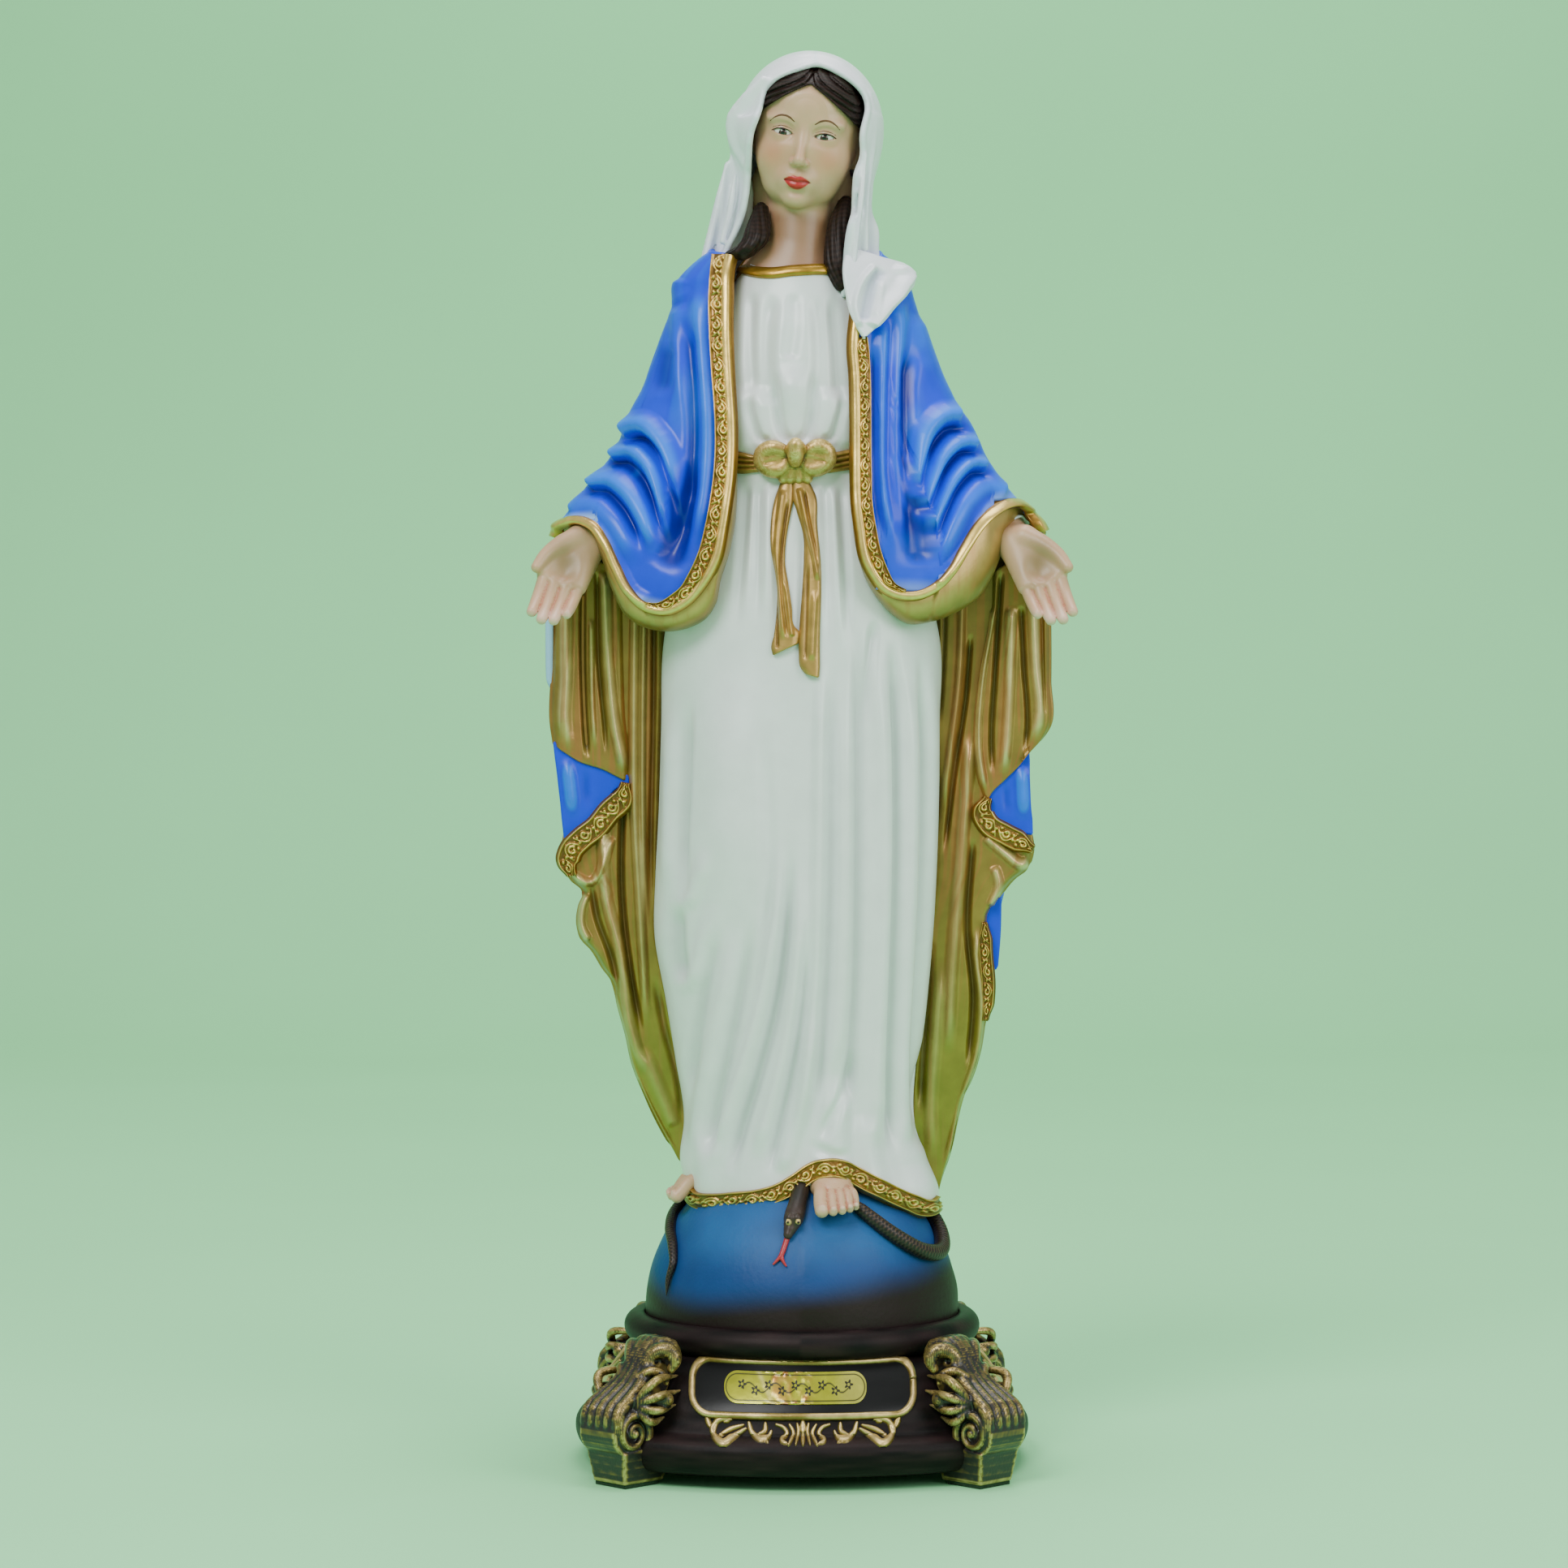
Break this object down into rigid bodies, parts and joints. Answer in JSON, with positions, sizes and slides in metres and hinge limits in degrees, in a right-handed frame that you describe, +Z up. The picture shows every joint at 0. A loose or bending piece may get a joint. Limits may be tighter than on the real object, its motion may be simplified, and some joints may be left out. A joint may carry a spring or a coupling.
{
  "type": "madonna statuette",
  "caption": "Painted resin statuette of a robed woman with open hands on a globe with a serpent, on a scroll-footed base.",
  "frame": {"origin": "centre of the base's underside, on the surface that the felt pads stand on", "axes": "+Z up, the figure faces -Y, +X is the figure's left"},
  "size_m": [0.1534, 0.1286, 0.4],
  "materials": {
    "base_brown": "cast resin under dark brown-black satin lacquer",
    "antique_gold": "black ground with gold dry-brushed over the high parts",
    "panel_black": "smooth black lacquer",
    "label_foil": "thin gold metallised label",
    "felt": "self-adhesive dark felt",
    "closing_board": "dark felt-faced board",
    "pin_steel": "plain steel rod",
    "globe_blue": "airbrushed blue that fades to brown-black at the foot, satin lacquer",
    "serpent_brown": "dark brown with lighter rubbed ribs",
    "tongue_red": "red enamel",
    "robe_white": "pearl white satin paint on cast resin",
    "trim_gold": "bright gold paint with a dark wash in the relief",
    "skin": "satin flesh paint",
    "cloak_blue": "airbrushed blue satin lacquer, lighter on the edges",
    "lining_gold": "antique gold paint brushed along the folds",
    "cuff_white": "pearl white satin paint",
    "hair_brown": "dark brown satin paint",
    "veil_white": "cool white satin paint"
  },
  "bodies": {
    "root": {"base_body": "base_brown", "base_closing_disc": "closing_board", "base_collar": "base_brown", "cloak_back": "cloak_blue", "cloak_lining": "lining_gold", "cloak_sleeve_left": "cloak_blue", "cloak_sleeve_right": "cloak_blue", "cloak_trim_left": "trim_gold", "cloak_trim_right": "trim_gold", "cuff_left": "cuff_white", "cuff_right": "cuff_white", "felt_pad_front_left": "felt", "felt_pad_front_right": "felt", "felt_pad_rear_left": "felt", "felt_pad_rear_right": "felt", "front_garland": "antique_gold", "globe": "globe_blue", "hair": "hair_brown", "hair_lock_left": "hair_brown", "hair_lock_right": "hair_brown", "hand_left": "skin", "hand_right": "skin", "head": "skin", "hem_trim": "trim_gold", "locating_pins": "pin_steel", "name_label": "label_foil", "name_plate_frame": "antique_gold", "name_plate_panel": "panel_black", "neck_band": "trim_gold", "robe": "robe_white", "sash_band": "trim_gold", "sash_bow": "trim_gold", "sash_tail_left": "trim_gold", "sash_tail_right": "trim_gold", "scroll_foot_front_left": "antique_gold", "scroll_foot_front_right": "antique_gold", "scroll_foot_rear_left": "antique_gold", "scroll_foot_rear_right": "antique_gold", "serpent": "serpent_brown", "serpent_tongue": "tongue_red", "side_spray_left": "antique_gold", "side_spray_rear": "antique_gold", "side_spray_right": "antique_gold", "toes_left": "skin", "toes_right": "skin", "veil": "veil_white", "veil_lappet": "veil_white"}
  },
  "joints": []
}
